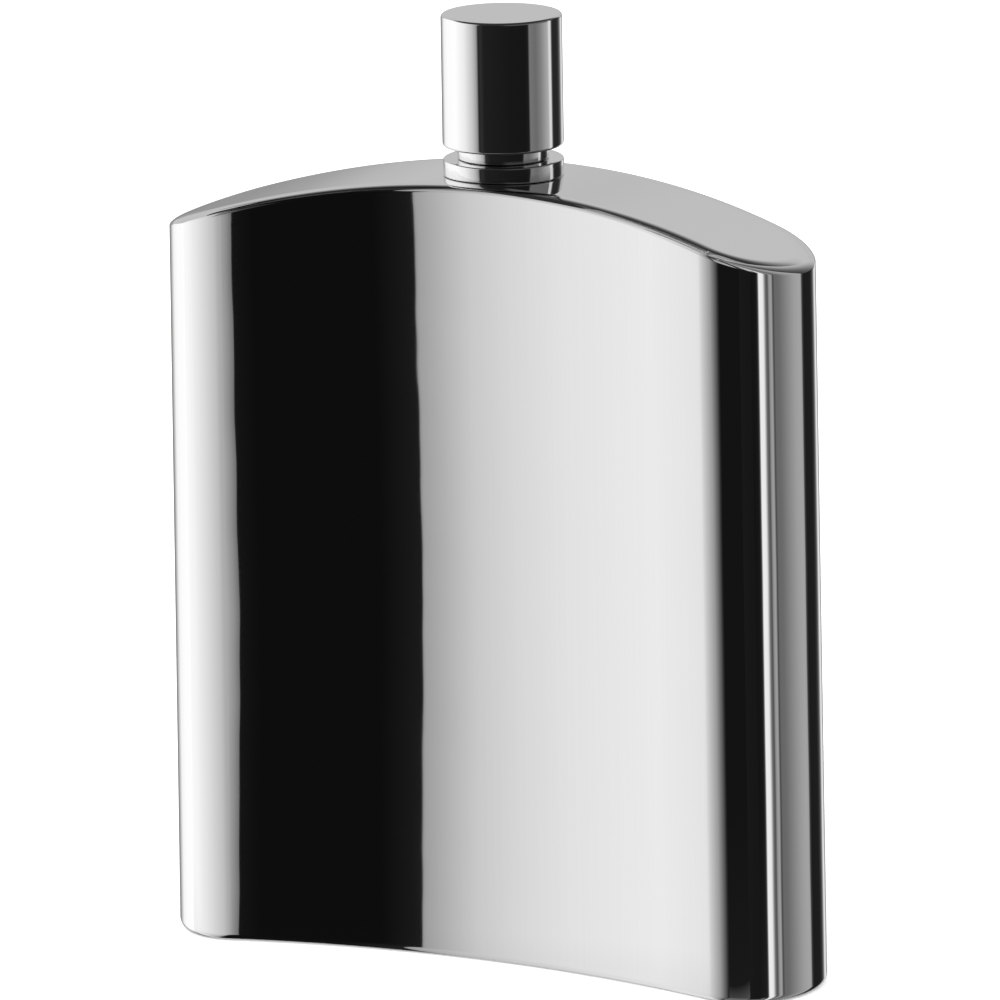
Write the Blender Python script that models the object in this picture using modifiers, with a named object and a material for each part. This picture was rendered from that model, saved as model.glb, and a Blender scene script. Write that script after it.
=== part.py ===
"""Hip flask: a curved, flattened steel bottle with an arched shoulder and a plain screw cap.

Frame: metres, +Z up. The origin is on the neck axis in the plane of the base. The concave side,
which lies against the hip, faces -Y, and the convex side faces +Y.
"""

import math

import bmesh
import bpy

MM = 0.001

# Body, seen from above: round ends with tighter front corners, joined by a convex back arc and
# a concave front arc.
BODY_WIDTH = 94.0 * MM
END_RADIUS = 11.9 * MM
END_CENTRE_Y = -5.35 * MM
CORNER_RADIUS = 8.1 * MM
CORNER_START = math.radians(46.3)
BACK_RADIUS = 146.0 * MM
FRONT_RADIUS = 135.5 * MM

# Body, seen from the front: a flat base and a single-curved arch.
BODY_HEIGHT = 104.0 * MM
ARCH_RADIUS = 142.8 * MM

# Sheet metal.
SHEET = 0.7 * MM
GAP = 0.3 * MM
EDGE_RADIUS = 0.9 * MM
SKIRT = 2.7 * MM
LIP = 2.4 * MM

# Collar.
COLLAR_RADIUS = 8.22 * MM
COLLAR_TOP = BODY_HEIGHT + 2.1 * MM
COLLAR_EDGE = 0.25 * MM
COLLAR_DEPTH = 1.0 * MM

# Neck.
BORE_RADIUS = 4.2 * MM
SPIGOT_RADIUS = 5.1 * MM
SHOULDER_RADIUS = 6.25 * MM
SHOULDER_TOP = COLLAR_TOP + 2.9 * MM
NECK_TOP = COLLAR_TOP + 10.7 * MM
NECK_EDGE = 0.35 * MM
FLANGE_RADIUS = 7.4 * MM
FLANGE_THICKNESS = 0.9 * MM

# Screw thread, shared by the neck and the liner of the cap.
PITCH = 1.5 * MM
THREAD_TURNS = 4
THREAD_START = SHOULDER_TOP + 1.0 * MM
THREAD_ROOT_RADIUS = SPIGOT_RADIUS
THREAD_CREST_RADIUS = 5.8 * MM
THREAD_CLEARANCE = 0.25 * MM
THREAD_SINK = 0.25 * MM
RIDGE_ROOT_WIDTH = 0.70 * MM
RIDGE_CREST_WIDTH = 0.30 * MM

# Cap.
CAP_RADIUS = 8.26 * MM
CAP_BOTTOM = COLLAR_TOP + 1.8 * MM
CAP_TOP = CAP_BOTTOM + 17.8 * MM
CAP_EDGE = 0.45 * MM
CAP_SHEET = 0.6 * MM
LINER_RADIUS = CAP_RADIUS - CAP_SHEET - GAP
LINER_EDGE = 0.4 * MM
LINER_ROOF = 1.3 * MM
GASKET_RADIUS = 5.7 * MM
GASKET_THICKNESS = 1.6 * MM

# Fineness of the facets.
END_STEPS = 10
FACE_STEPS = 20
EDGE_STEPS = 3
TURN_STEPS = 48
THREAD_STEPS = 24
ARCH_STEPS = 384
SHARP_ANGLE = math.radians(30)
MERGE_DISTANCE = 0.01 * MM

# How far a cutting cylinder reaches past the crest of the arch.
CUTTER_REACH = 5.0 * MM

OBJECT_NAME = "hip_flask"


def clear_scene():
    """Remove every object that the file holds."""
    for thing in list(bpy.data.objects):
        bpy.data.objects.remove(thing, do_unlink=True)


def new_collection(name):
    """Add a collection to the scene."""
    collection = bpy.data.collections.new(name)
    bpy.context.scene.collection.children.link(collection)
    return collection


def make_material(name, colour, roughness, metallic):
    """A Principled material in one colour."""
    material = bpy.data.materials.new(name)
    material.use_nodes = True
    shader = material.node_tree.nodes["Principled BSDF"]
    shader.inputs["Base Color"].default_value = (*colour, 1.0)
    shader.inputs["Roughness"].default_value = roughness
    shader.inputs["Metallic"].default_value = metallic
    return material


def add_object(name, mesh, material, collection):
    """Add a mesh as a named object, smooth apart from its real edges."""
    thing = bpy.data.objects.new(name, mesh)
    collection.objects.link(thing)
    if material:
        mesh.materials.append(material)
    mesh.shade_smooth()
    mesh.set_sharp_from_angle(angle=SHARP_ANGLE)
    return thing


def arc(centre_x, centre_y, radius, start, end, steps):
    """Points on an arc, without its last point."""
    turn = (end - start) / steps
    return [
        (
            centre_x + radius * math.cos(start + turn * k),
            centre_y + radius * math.sin(start + turn * k),
        )
        for k in range(steps)
    ]


def plan_outline(inset):
    """The body's outline from above, inset by a distance, counterclockwise from the +X tip.

    Back and front have as many points as each other, so point k faces point -k across the body.
    """
    end_x = BODY_WIDTH / 2 - END_RADIUS
    corner_x = end_x + (END_RADIUS - CORNER_RADIUS) * math.cos(CORNER_START)
    corner_y = END_CENTRE_Y - (END_RADIUS - CORNER_RADIUS) * math.sin(CORNER_START)
    back_y = END_CENTRE_Y - math.sqrt((BACK_RADIUS - END_RADIUS) ** 2 - end_x**2)
    front_y = corner_y - math.sqrt((FRONT_RADIUS + CORNER_RADIUS) ** 2 - corner_x**2)
    back_join = math.atan2(END_CENTRE_Y - back_y, end_x)
    front_join = math.atan2(corner_y - front_y, corner_x)
    end = END_RADIUS - inset
    corner = CORNER_RADIUS - inset
    back = BACK_RADIUS - inset
    front = FRONT_RADIUS + inset
    turn = math.pi
    half = END_STEPS // 2
    points = arc(end_x, END_CENTRE_Y, end, 0, back_join, END_STEPS)
    points += arc(0, back_y, back, back_join, turn - back_join, FACE_STEPS)
    points += arc(-end_x, END_CENTRE_Y, end, turn - back_join, turn, END_STEPS)
    points += arc(-end_x, END_CENTRE_Y, end, turn, turn + CORNER_START, half)
    points += arc(-corner_x, corner_y, corner, turn + CORNER_START, 2 * turn - front_join, half)
    points += arc(0, front_y, front, turn - front_join, front_join, FACE_STEPS)
    points += arc(corner_x, corner_y, corner, front_join - turn, -CORNER_START, half)
    points += arc(end_x, END_CENTRE_Y, end, -CORNER_START, 0, half)
    return points


def arch_height(x):
    """Height of the arched top of the body at a distance from its middle."""
    return BODY_HEIGHT - ARCH_RADIUS + math.sqrt(ARCH_RADIUS**2 - x**2)


def ring_surface(name, rings, close_last=False, inside_out=False):
    """An open surface through rings of points, with strips across the last ring if wanted."""
    bm = bmesh.new()
    made = [[bm.verts.new(point) for point in ring] for ring in rings]
    count = len(made[0])
    for lower, upper in zip(made, made[1:]):
        for k in range(count):
            after = (k + 1) % count
            bm.faces.new((lower[k], lower[after], upper[after], upper[k]))
    if close_last:
        last = made[-1]
        half = count // 2
        bm.faces.new((last[-1], last[0], last[1]))
        for k in range(1, half - 1):
            bm.faces.new((last[-k], last[k], last[k + 1], last[-k - 1]))
        bm.faces.new((last[half + 1], last[half - 1], last[half]))
    if inside_out:
        bmesh.ops.reverse_faces(bm, faces=bm.faces)
    mesh = bpy.data.meshes.new(name)
    bm.to_mesh(mesh)
    bm.free()
    return mesh


def thicken(thing, thickness):
    """Give an open surface its sheet thickness, on the inside."""
    solidify = thing.modifiers.new("sheet_thickness", "SOLIDIFY")
    solidify.thickness = thickness
    solidify.offset = -1
    solidify.use_even_offset = True


def hide_cutter(thing):
    """Keep a cutting shape out of the object."""
    thing.hide_render = True
    thing.display_type = "WIRE"


def boolean(thing, other, operation):
    """Cut or join a piece with a hidden shape."""
    modifier = thing.modifiers.new(other.name, "BOOLEAN")
    modifier.operation = operation
    modifier.object = other
    modifier.solver = "EXACT"


def upright_cylinder(name, radius, bottom, top, collection):
    """A cylinder on the neck axis that cuts another piece."""
    bm = bmesh.new()
    bmesh.ops.create_cone(
        bm,
        cap_ends=True,
        segments=TURN_STEPS,
        radius1=radius,
        radius2=radius,
        depth=top - bottom,
    )
    mesh = bpy.data.meshes.new(name)
    bm.to_mesh(mesh)
    bm.free()
    thing = add_object(name, mesh, None, collection)
    thing.location.z = (bottom + top) / 2
    hide_cutter(thing)
    return thing


def arch_cylinder(name, radius, collection):
    """A cylinder across the body, along Y, that follows the arch of the top."""
    bm = bmesh.new()
    bmesh.ops.create_cone(
        bm, cap_ends=True, segments=ARCH_STEPS, radius1=radius, radius2=radius, depth=BODY_WIDTH
    )
    mesh = bpy.data.meshes.new(name)
    bm.to_mesh(mesh)
    bm.free()
    thing = add_object(name, mesh, None, collection)
    thing.rotation_euler.x = math.pi / 2
    thing.location.z = BODY_HEIGHT - ARCH_RADIUS
    hide_cutter(thing)
    return thing


def turned(name, profile, material, collection):
    """A turned piece: (radius, height) points down its outer side, spun about the neck axis.

    A profile that starts on the axis ends on it, and any other is closed into a ring.
    """
    mesh = bpy.data.meshes.new(name)
    points = [(radius, 0, height) for radius, height in profile]
    edges = [(k, k + 1) for k in range(len(points) - 1)]
    if profile[0][0] > 0:
        edges.append((len(points) - 1, 0))
    mesh.from_pydata(points, edges, [])
    mesh.materials.append(material)
    thing = bpy.data.objects.new(name, mesh)
    collection.objects.link(thing)
    screw = thing.modifiers.new("spin", "SCREW")
    screw.axis = "Z"
    screw.angle = 2 * math.pi
    screw.steps = TURN_STEPS
    screw.render_steps = TURN_STEPS
    screw.use_merge_vertices = True
    screw.merge_threshold = MERGE_DISTANCE
    screw.use_smooth_shade = True
    return thing


def edge_profile():
    """The rounded edge of a pressed plate: (inset, drop below the plate) from skirt to plate."""
    return [
        (
            EDGE_RADIUS * (1 - math.cos(math.pi / 2 * k / EDGE_STEPS)),
            EDGE_RADIUS * (1 - math.sin(math.pi / 2 * k / EDGE_STEPS)),
        )
        for k in range(EDGE_STEPS + 1)
    ]


def plate_profile():
    """A pressed plate's outer side: (inset, drop) from the end of its lip to its flat."""
    lip_inset = SHEET + GAP
    return [(lip_inset, SKIRT + LIP), (lip_inset, SKIRT), (0.0, SKIRT), *edge_profile()]


def make_body_wall(material, collection):
    """The sleeve: one sheet, bent to the outline, butt welded, and cut to the arch at its top."""
    outline = plan_outline(0.0)
    bottom = [(x, y, SKIRT + GAP) for x, y in outline]
    top = [(x, y, arch_height(x) - SKIRT - GAP) for x, y in outline]
    wall = add_object("body_wall", ring_surface("body_wall", [bottom, top]), material, collection)
    thicken(wall, SHEET)
    return wall


def make_top_plate(material, collection, cutters):
    """The shoulder: an arched pressed plate whose lip enters the wall, with a hole for the neck."""
    rings = [
        [(x, y, arch_height(x) - drop) for x, y in plan_outline(inset)]
        for inset, drop in plate_profile()
    ]
    mesh = ring_surface("top_plate", rings, close_last=True)
    plate = add_object("top_plate", mesh, material, collection)
    thicken(plate, SHEET)
    low = BODY_HEIGHT - CUTTER_REACH
    high = BODY_HEIGHT + CUTTER_REACH
    hole = upright_cylinder("neck_hole", SPIGOT_RADIUS + GAP, low, high, cutters)
    boolean(plate, hole, "DIFFERENCE")
    return plate


def make_base_plate(material, collection):
    """The base: a flat pressed plate whose lip enters the wall."""
    rings = [[(x, y, drop) for x, y in plan_outline(inset)] for inset, drop in plate_profile()]
    mesh = ring_surface("base_plate", rings, close_last=True, inside_out=True)
    plate = add_object("base_plate", mesh, material, collection)
    thicken(plate, SHEET)
    return plate


def make_neck_collar(material, collection, cutters):
    """The turned flange on the shoulder, hollowed below to sit on the arch."""
    inner = SPIGOT_RADIUS + GAP
    low = BODY_HEIGHT - COLLAR_DEPTH
    profile = [
        (inner, COLLAR_TOP),
        (COLLAR_RADIUS - COLLAR_EDGE, COLLAR_TOP),
        (COLLAR_RADIUS, COLLAR_TOP - COLLAR_EDGE),
        (COLLAR_RADIUS, low),
        (inner, low),
    ]
    collar = turned("neck_collar", profile, material, collection)
    seat = arch_cylinder("collar_seat", ARCH_RADIUS + GAP, cutters)
    boolean(collar, seat, "DIFFERENCE")
    return collar


def helical_ridge(name, root_radius, crest_radius, start, collection):
    """A thread: a trapezoid carried up a helix, sunk into its wall and run out at both ends."""
    steps = THREAD_TURNS * THREAD_STEPS
    runout = THREAD_STEPS // 3
    outward = 1 if crest_radius > root_radius else -1
    sunk_radius = root_radius - outward * THREAD_SINK
    bm = bmesh.new()
    sections = []
    for k in range(steps + 1):
        turn = 2 * math.pi * k / THREAD_STEPS
        height = start + PITCH * k / THREAD_STEPS
        full = min(1.0, k / runout, (steps - k) / runout)
        lowest = root_radius - outward * THREAD_SINK / 2
        crest = lowest + (crest_radius - lowest) * full
        corners = [
            (sunk_radius, -RIDGE_ROOT_WIDTH / 2),
            (crest, -RIDGE_CREST_WIDTH / 2),
            (crest, RIDGE_CREST_WIDTH / 2),
            (sunk_radius, RIDGE_ROOT_WIDTH / 2),
        ]
        sections.append(
            [
                bm.verts.new((r * math.cos(turn), r * math.sin(turn), height + rise))
                for r, rise in corners
            ]
        )
    for near, far in zip(sections, sections[1:]):
        for k in range(4):
            after = (k + 1) % 4
            bm.faces.new((near[k], near[after], far[after], far[k]))
    bm.faces.new(sections[0])
    bm.faces.new(sections[-1])
    bmesh.ops.recalc_face_normals(bm, faces=bm.faces)
    mesh = bpy.data.meshes.new(name)
    bm.to_mesh(mesh)
    bm.free()
    ridge = add_object(name, mesh, None, collection)
    hide_cutter(ridge)
    return ridge


def make_neck_spout(material, collection, cutters):
    """The pouring neck: flange under the shoulder, spigot, plain shoulder and thread."""
    flange_top = arch_height(FLANGE_RADIUS) - SHEET - GAP
    profile = [
        (BORE_RADIUS + NECK_EDGE, NECK_TOP),
        (SPIGOT_RADIUS - NECK_EDGE, NECK_TOP),
        (SPIGOT_RADIUS, NECK_TOP - NECK_EDGE),
        (SPIGOT_RADIUS, SHOULDER_TOP + NECK_EDGE),
        (SHOULDER_RADIUS - NECK_EDGE, SHOULDER_TOP),
        (SHOULDER_RADIUS, SHOULDER_TOP - NECK_EDGE),
        (SHOULDER_RADIUS, COLLAR_TOP + GAP),
        (SPIGOT_RADIUS, COLLAR_TOP + GAP),
        (SPIGOT_RADIUS, flange_top),
        (FLANGE_RADIUS, flange_top),
        (FLANGE_RADIUS, flange_top - FLANGE_THICKNESS),
        (BORE_RADIUS, flange_top - FLANGE_THICKNESS),
        (BORE_RADIUS, NECK_TOP - NECK_EDGE),
    ]
    neck = turned("neck_spout", profile, material, collection)
    ridge = helical_ridge(
        "neck_thread", THREAD_ROOT_RADIUS, THREAD_CREST_RADIUS, THREAD_START, cutters
    )
    boolean(neck, ridge, "UNION")
    return neck


def make_cap_shell(material, collection):
    """The cap's outside: a drawn steel cup with small broken edges."""
    inner = CAP_RADIUS - CAP_SHEET
    roof = CAP_TOP - CAP_SHEET
    shallow = CAP_EDGE * (1 - math.sqrt(0.5))
    profile = [
        (0.0, CAP_TOP),
        (CAP_RADIUS - CAP_EDGE, CAP_TOP),
        (CAP_RADIUS - shallow, CAP_TOP - shallow),
        (CAP_RADIUS, CAP_TOP - CAP_EDGE),
        (CAP_RADIUS, CAP_BOTTOM + CAP_EDGE / 2),
        (CAP_RADIUS - CAP_EDGE / 2, CAP_BOTTOM),
        (inner, CAP_BOTTOM),
        (inner, roof),
        (0.0, roof),
    ]
    return turned("cap_shell", profile, material, collection)


def make_cap_liner(material, collection, cutters):
    """The moulded insert pressed into the cap: a threaded cup with a seat for the gasket."""
    root = THREAD_CREST_RADIUS + THREAD_CLEARANCE
    crest = THREAD_ROOT_RADIUS + THREAD_CLEARANCE
    bottom = CAP_BOTTOM + GAP
    mouth = SHOULDER_RADIUS + GAP
    mouth_top = SHOULDER_TOP + GAP
    seat = NECK_TOP + GASKET_THICKNESS + 2 * GAP
    top = seat + LINER_ROOF
    profile = [
        (0.0, top),
        (LINER_RADIUS - LINER_EDGE, top),
        (LINER_RADIUS, top - LINER_EDGE),
        (LINER_RADIUS, bottom),
        (mouth, bottom),
        (mouth, mouth_top),
        (root, mouth_top + mouth - root),
        (root, seat),
        (0.0, seat),
    ]
    liner = turned("cap_liner", profile, material, collection)
    ridge = helical_ridge("liner_thread", root, crest, THREAD_START + PITCH / 2, cutters)
    boolean(liner, ridge, "UNION")
    return liner


def make_cap_gasket(material, collection):
    """The soft sealing disc between the liner and the rim of the neck."""
    bottom = NECK_TOP + GAP
    bm = bmesh.new()
    bmesh.ops.create_cone(
        bm,
        cap_ends=True,
        segments=TURN_STEPS,
        radius1=GASKET_RADIUS,
        radius2=GASKET_RADIUS,
        depth=GASKET_THICKNESS,
    )
    mesh = bpy.data.meshes.new("cap_gasket")
    bm.to_mesh(mesh)
    bm.free()
    gasket = add_object("cap_gasket", mesh, material, collection)
    gasket.location.z = bottom + GASKET_THICKNESS / 2
    return gasket


def main():
    """Build the flask."""
    clear_scene()
    flask = new_collection(OBJECT_NAME)
    cutters = new_collection("cutters")
    polished = make_material("polished_steel", (0.80, 0.80, 0.81), 0.08, 1.0)
    turned_steel = make_material("turned_steel", (0.72, 0.72, 0.73), 0.18, 1.0)
    moulding = make_material("moulded_plastic", (0.035, 0.035, 0.037), 0.45, 0.0)
    rubber = make_material("sealing_rubber", (0.75, 0.77, 0.78), 0.55, 0.0)
    make_body_wall(polished, flask)
    make_top_plate(polished, flask, cutters)
    make_base_plate(polished, flask)
    make_neck_collar(polished, flask, cutters)
    make_neck_spout(turned_steel, flask, cutters)
    make_cap_shell(polished, flask)
    make_cap_liner(moulding, flask, cutters)
    make_cap_gasket(rubber, flask)


main()
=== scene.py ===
"""Looks of the hip flask: fine meshes, procedural steel, a pale studio and the camera.

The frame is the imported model, in metres, with +Z up. The origin is on the neck axis in the plane
of the base, and the concave side of the flask faces -Y.
"""

import math

import bmesh
import bpy
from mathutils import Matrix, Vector


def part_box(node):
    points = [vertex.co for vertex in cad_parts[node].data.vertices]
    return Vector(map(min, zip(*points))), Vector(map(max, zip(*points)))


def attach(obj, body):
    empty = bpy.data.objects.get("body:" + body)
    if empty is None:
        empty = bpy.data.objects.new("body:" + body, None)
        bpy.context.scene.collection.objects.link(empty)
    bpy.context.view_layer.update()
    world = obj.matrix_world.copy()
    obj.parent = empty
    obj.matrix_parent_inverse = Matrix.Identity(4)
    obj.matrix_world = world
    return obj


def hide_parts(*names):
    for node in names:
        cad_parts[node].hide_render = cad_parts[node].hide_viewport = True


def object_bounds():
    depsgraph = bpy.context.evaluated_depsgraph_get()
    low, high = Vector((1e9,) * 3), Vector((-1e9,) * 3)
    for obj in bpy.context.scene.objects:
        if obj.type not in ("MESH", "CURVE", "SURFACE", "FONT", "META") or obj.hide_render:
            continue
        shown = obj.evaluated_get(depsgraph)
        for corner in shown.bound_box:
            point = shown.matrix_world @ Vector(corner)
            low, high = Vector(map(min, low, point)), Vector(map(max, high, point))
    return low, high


MM = 0.001

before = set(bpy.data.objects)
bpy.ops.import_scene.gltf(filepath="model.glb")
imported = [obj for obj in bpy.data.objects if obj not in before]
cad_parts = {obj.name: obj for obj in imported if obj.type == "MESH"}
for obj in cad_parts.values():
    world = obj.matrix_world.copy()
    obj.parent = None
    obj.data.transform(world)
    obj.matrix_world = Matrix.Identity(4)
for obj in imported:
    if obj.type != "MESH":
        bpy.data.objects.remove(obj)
cad_low, cad_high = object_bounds()

# The body as the design has it: its outline from above, its arch and its sheet.
END_RADIUS = 11.9 * MM
CORNER_RADIUS = 8.1 * MM
CORNER_START = math.radians(46.3)
BACK_RADIUS = 146.0 * MM
FRONT_RADIUS = 135.5 * MM
ARCH_RADIUS = 142.8 * MM
END_CENTRE_Y = -5.35 * MM
EDGE_RADIUS = 0.9 * MM
SHEET = 0.7 * MM
GAP = 0.3 * MM

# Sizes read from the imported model.
wall_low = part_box("body_wall")[0]
plate_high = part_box("top_plate")[1]
collar_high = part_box("neck_collar")[1]
neck_low, neck_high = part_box("neck_spout")
cap_low, cap_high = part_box("cap_shell")
liner_low, liner_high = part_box("cap_liner")
gasket_low, gasket_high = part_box("cap_gasket")

HALF_WIDTH = cad_high.x
BODY_HEIGHT = plate_high.z
COLLAR_TOP = collar_high.z
COLLAR_RADIUS = collar_high.x
CAP_RADIUS = cap_high.x

# Facets in each quarter of an end, in each long side, in a full turn and in a rounded corner.
END_STEPS = 48
FACE_STEPS = 130
TURN_STEPS = 192
CORNER_STEPS = 6

# Edges bent more than this stay sharp, in degrees. A thread's flanks are left soft.
SHARP_EDGE = 32
SHARP_THREAD = 50


# ---------------------------------------------------------------- shapes


def arc(centre, radius, start, end, steps):
    """Points on an arc, without its last one."""
    turn = (end - start) / steps
    angles = [start + turn * k for k in range(steps)]
    return [
        (centre[0] + radius * math.cos(angle), centre[1] + radius * math.sin(angle))
        for angle in angles
    ]


def plan_outline(inset):
    """The body's outline from above, inset by a distance, counterclockwise from the +X tip."""
    end_x = HALF_WIDTH - END_RADIUS
    end = (end_x, END_CENTRE_Y)
    corner_x = end_x + (END_RADIUS - CORNER_RADIUS) * math.cos(CORNER_START)
    corner_y = END_CENTRE_Y - (END_RADIUS - CORNER_RADIUS) * math.sin(CORNER_START)
    corner = (corner_x, corner_y)
    back = (0, END_CENTRE_Y - math.sqrt((BACK_RADIUS - END_RADIUS) ** 2 - end_x**2))
    front = (0, corner_y - math.sqrt((FRONT_RADIUS + CORNER_RADIUS) ** 2 - corner_x**2))
    back_join = math.atan2(END_CENTRE_Y - back[1], end_x)
    front_join = math.atan2(corner_y - front[1], corner_x)
    half = END_STEPS // 2
    turn = math.pi
    end_r = END_RADIUS - inset
    corner_r = CORNER_RADIUS - inset
    left_end = (-end_x, END_CENTRE_Y)
    left_corner = (-corner_x, corner_y)
    points = arc(end, end_r, 0, back_join, END_STEPS)
    points += arc(back, BACK_RADIUS - inset, back_join, turn - back_join, FACE_STEPS)
    points += arc(left_end, end_r, turn - back_join, turn, END_STEPS)
    points += arc(left_end, end_r, turn, turn + CORNER_START, half)
    points += arc(left_corner, corner_r, turn + CORNER_START, 2 * turn - front_join, half)
    points += arc(front, FRONT_RADIUS + inset, turn - front_join, front_join, FACE_STEPS)
    points += arc(corner, corner_r, front_join - turn, -CORNER_START, half)
    points += arc(end, end_r, -CORNER_START, 0, half)
    return points


def arch_height(x):
    """Height of the arched top at a distance from its middle."""
    return BODY_HEIGHT - ARCH_RADIUS + math.sqrt(ARCH_RADIUS**2 - x**2)


def skin(name, rings, wrap=False, fill_first=False, fill_last=False):
    """A piece through rings of points; wrap joins the last ring to the first."""
    bm = bmesh.new()
    made = [[bm.verts.new(point) for point in ring] for ring in rings]
    count = len(made[0])
    pairs = list(zip(made, made[1:]))
    if wrap:
        pairs.append((made[-1], made[0]))
    for lower, upper in pairs:
        for k in range(count):
            after = (k + 1) % count
            bm.faces.new((lower[k], lower[after], upper[after], upper[k]))
    if fill_first:
        bm.faces.new(list(reversed(made[0])))
    if fill_last:
        bm.faces.new(made[-1])
    bmesh.ops.recalc_face_normals(bm, faces=bm.faces)
    mesh = bpy.data.meshes.new(name)
    bm.to_mesh(mesh)
    bm.free()
    thing = bpy.data.objects.new(name, mesh)
    bpy.context.scene.collection.objects.link(thing)
    return thing


def finish_piece(thing, material, node, body, sharp=SHARP_EDGE):
    """Smooth a piece, give it its material, and let it stand for a CAD node and ride its body."""
    thing.data.materials.append(material)
    thing.data.shade_smooth()
    thing.data.set_sharp_from_angle(angle=math.radians(sharp))
    weighted = thing.modifiers.new("even_normals", "WEIGHTED_NORMAL")
    weighted.keep_sharp = True
    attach(thing, body)
    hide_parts(node)


def circle(radius, height, steps=TURN_STEPS):
    """A level ring of points about the neck axis."""
    return [
        (
            radius * math.cos(2 * math.pi * k / steps),
            radius * math.sin(2 * math.pi * k / steps),
            height,
        )
        for k in range(steps)
    ]


def rounded(profile, radii, steps=CORNER_STEPS):
    """A (radius, height) profile with its corners rounded; radii holds one size for each point."""
    out = []
    count = len(profile)
    for k, (point, size) in enumerate(zip(profile, radii)):
        here = Vector(point)
        if size <= 0:
            out.append(tuple(here))
            continue
        before = (Vector(profile[k - 1]) - here).normalized()
        after = (Vector(profile[(k + 1) % count]) - here).normalized()
        half = before.angle(after) / 2
        reach = size / math.tan(half)
        middle = here + (before + after).normalized() * (size / math.sin(half))
        first = here + before * reach - middle
        last = here + after * reach - middle
        for step in range(steps + 1):
            out.append(tuple(middle + first.slerp(last, step / steps) * size))
    return out


def turned_rings(outline, radii):
    """Rings of a turned (radius, height) outline."""
    return [circle(radius, height) for radius, height in rounded(outline, radii)]


# ---------------------------------------------------------------- materials

STEEL_REFLECTANCE = 0.80
TURNED_REFLECTANCE = 0.78
LINER_COLOUR = (0.035, 0.035, 0.037)
GASKET_COLOUR = (0.70, 0.73, 0.74)

# Noise scales along X, Y and Z, per metre.
DRAWN_STREAKS = (2600.0, 2600.0, 14.0)
TURNED_STREAKS = (60.0, 60.0, 5200.0)
MOTTLE_SCALES = (140.0, 140.0, 90.0)
WAVE_SCALES = (22.0, 22.0, 48.0)
CLOUD_SCALES = (350.0, 350.0, 350.0)

# Noise seldom leaves this range.
NOISE_LOW = 0.3
NOISE_HIGH = 0.7

# Heights of surface relief and depths that light reaches in plastic, in metres.
BODY_WAVE = 0.00014
CAP_WAVE = 0.000002
SCRATCH_HEIGHT = 0.00000006
MOULDED_GRAIN_DEPTH = 0.00002
PLASTIC_DEPTHS = (0.0012, 0.0010, 0.0008)

# The darkest a tone gets, as a share of the colour.
STEEL_TONE_LOW = 0.985
PLASTIC_TONE_LOW = 0.93

# How far noise lowers and raises the roughness.
STREAK_SPREAD = (0.7, 1.3)
MOTTLE_SPREAD = (0.8, 1.2)
PLASTIC_SPREAD = (0.85, 1.15)


def link(tree, output, socket):
    """Join two sockets."""
    tree.links.new(output, socket)


def add_node(tree, kind, **values):
    """A shader node with named input values; names that are attributes are set as such."""
    node = tree.nodes.new(kind)
    for key, value in values.items():
        if key in node.inputs:
            node.inputs[key].default_value = value
        else:
            setattr(node, key, value)
    return node


def compute(tree, operation, *values):
    """The result of a maths node on sockets and plain numbers."""
    node = add_node(tree, "ShaderNodeMath", operation=operation)
    for socket, value in zip(node.inputs, values):
        if isinstance(value, float):
            socket.default_value = value
        else:
            link(tree, value, socket)
    return node.outputs["Value"]


def stretched_noise(tree, coords, scales, detail=2.0, roughness=0.5):
    """Noise in the object's own metres, with its own scale along each axis."""
    mapping = add_node(tree, "ShaderNodeMapping")
    mapping.inputs["Scale"].default_value = scales
    noise = add_node(tree, "ShaderNodeTexNoise", Scale=1.0, Detail=detail, Roughness=roughness)
    link(tree, coords.outputs["Object"], mapping.inputs["Vector"])
    link(tree, mapping.outputs["Vector"], noise.inputs["Vector"])
    return noise.outputs["Fac"]


def remap(tree, value, low, high):
    """Noise from its usual range onto another."""
    node = add_node(tree, "ShaderNodeMapRange")
    node.inputs["From Min"].default_value = NOISE_LOW
    node.inputs["From Max"].default_value = NOISE_HIGH
    node.inputs["To Min"].default_value = low
    node.inputs["To Max"].default_value = high
    link(tree, value, node.inputs["Value"])
    return node.outputs["Result"]


def vary_tone(tree, shader, colour, share, darkest):
    """A base colour that darkens a little by a share from 0 to 1."""
    tone = add_node(tree, "ShaderNodeMix", data_type="RGBA")
    tone.inputs["A"].default_value = (*[channel * darkest for channel in colour], 1.0)
    tone.inputs["B"].default_value = (*colour, 1.0)
    link(tree, share, tone.inputs["Factor"])
    link(tree, tone.outputs["Result"], shader.inputs["Base Color"])


def steel(name, tint, streaks, roughness, wave):
    """Polished stainless steel: faint polishing streaks, slight waves and a tiny spread of tone."""
    material = bpy.data.materials.new(name)
    material.use_nodes = True
    tree = material.node_tree
    shader = tree.nodes["Principled BSDF"]
    shader.inputs["Metallic"].default_value = 1.0
    coords = add_node(tree, "ShaderNodeTexCoord")
    lines = stretched_noise(tree, coords, streaks, detail=3.0, roughness=0.65)
    mottle = stretched_noise(tree, coords, MOTTLE_SCALES, detail=3.0)
    vary_tone(tree, shader, (tint, tint, tint), remap(tree, lines, 0.0, 1.0), STEEL_TONE_LOW)
    streaked = remap(tree, lines, *[roughness * part for part in STREAK_SPREAD])
    mottled = compute(tree, "MULTIPLY", streaked, remap(tree, mottle, *MOTTLE_SPREAD))
    link(tree, mottled, shader.inputs["Roughness"])
    waves = stretched_noise(tree, coords, WAVE_SCALES, detail=1.5)
    scratches = compute(tree, "MULTIPLY", lines, SCRATCH_HEIGHT)
    surface = compute(tree, "MULTIPLY_ADD", waves, wave, scratches)
    bump = add_node(tree, "ShaderNodeBump", Strength=1.0, Distance=1.0)
    link(tree, surface, bump.inputs["Height"])
    link(tree, bump.outputs["Normal"], shader.inputs["Normal"])
    return material


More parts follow.
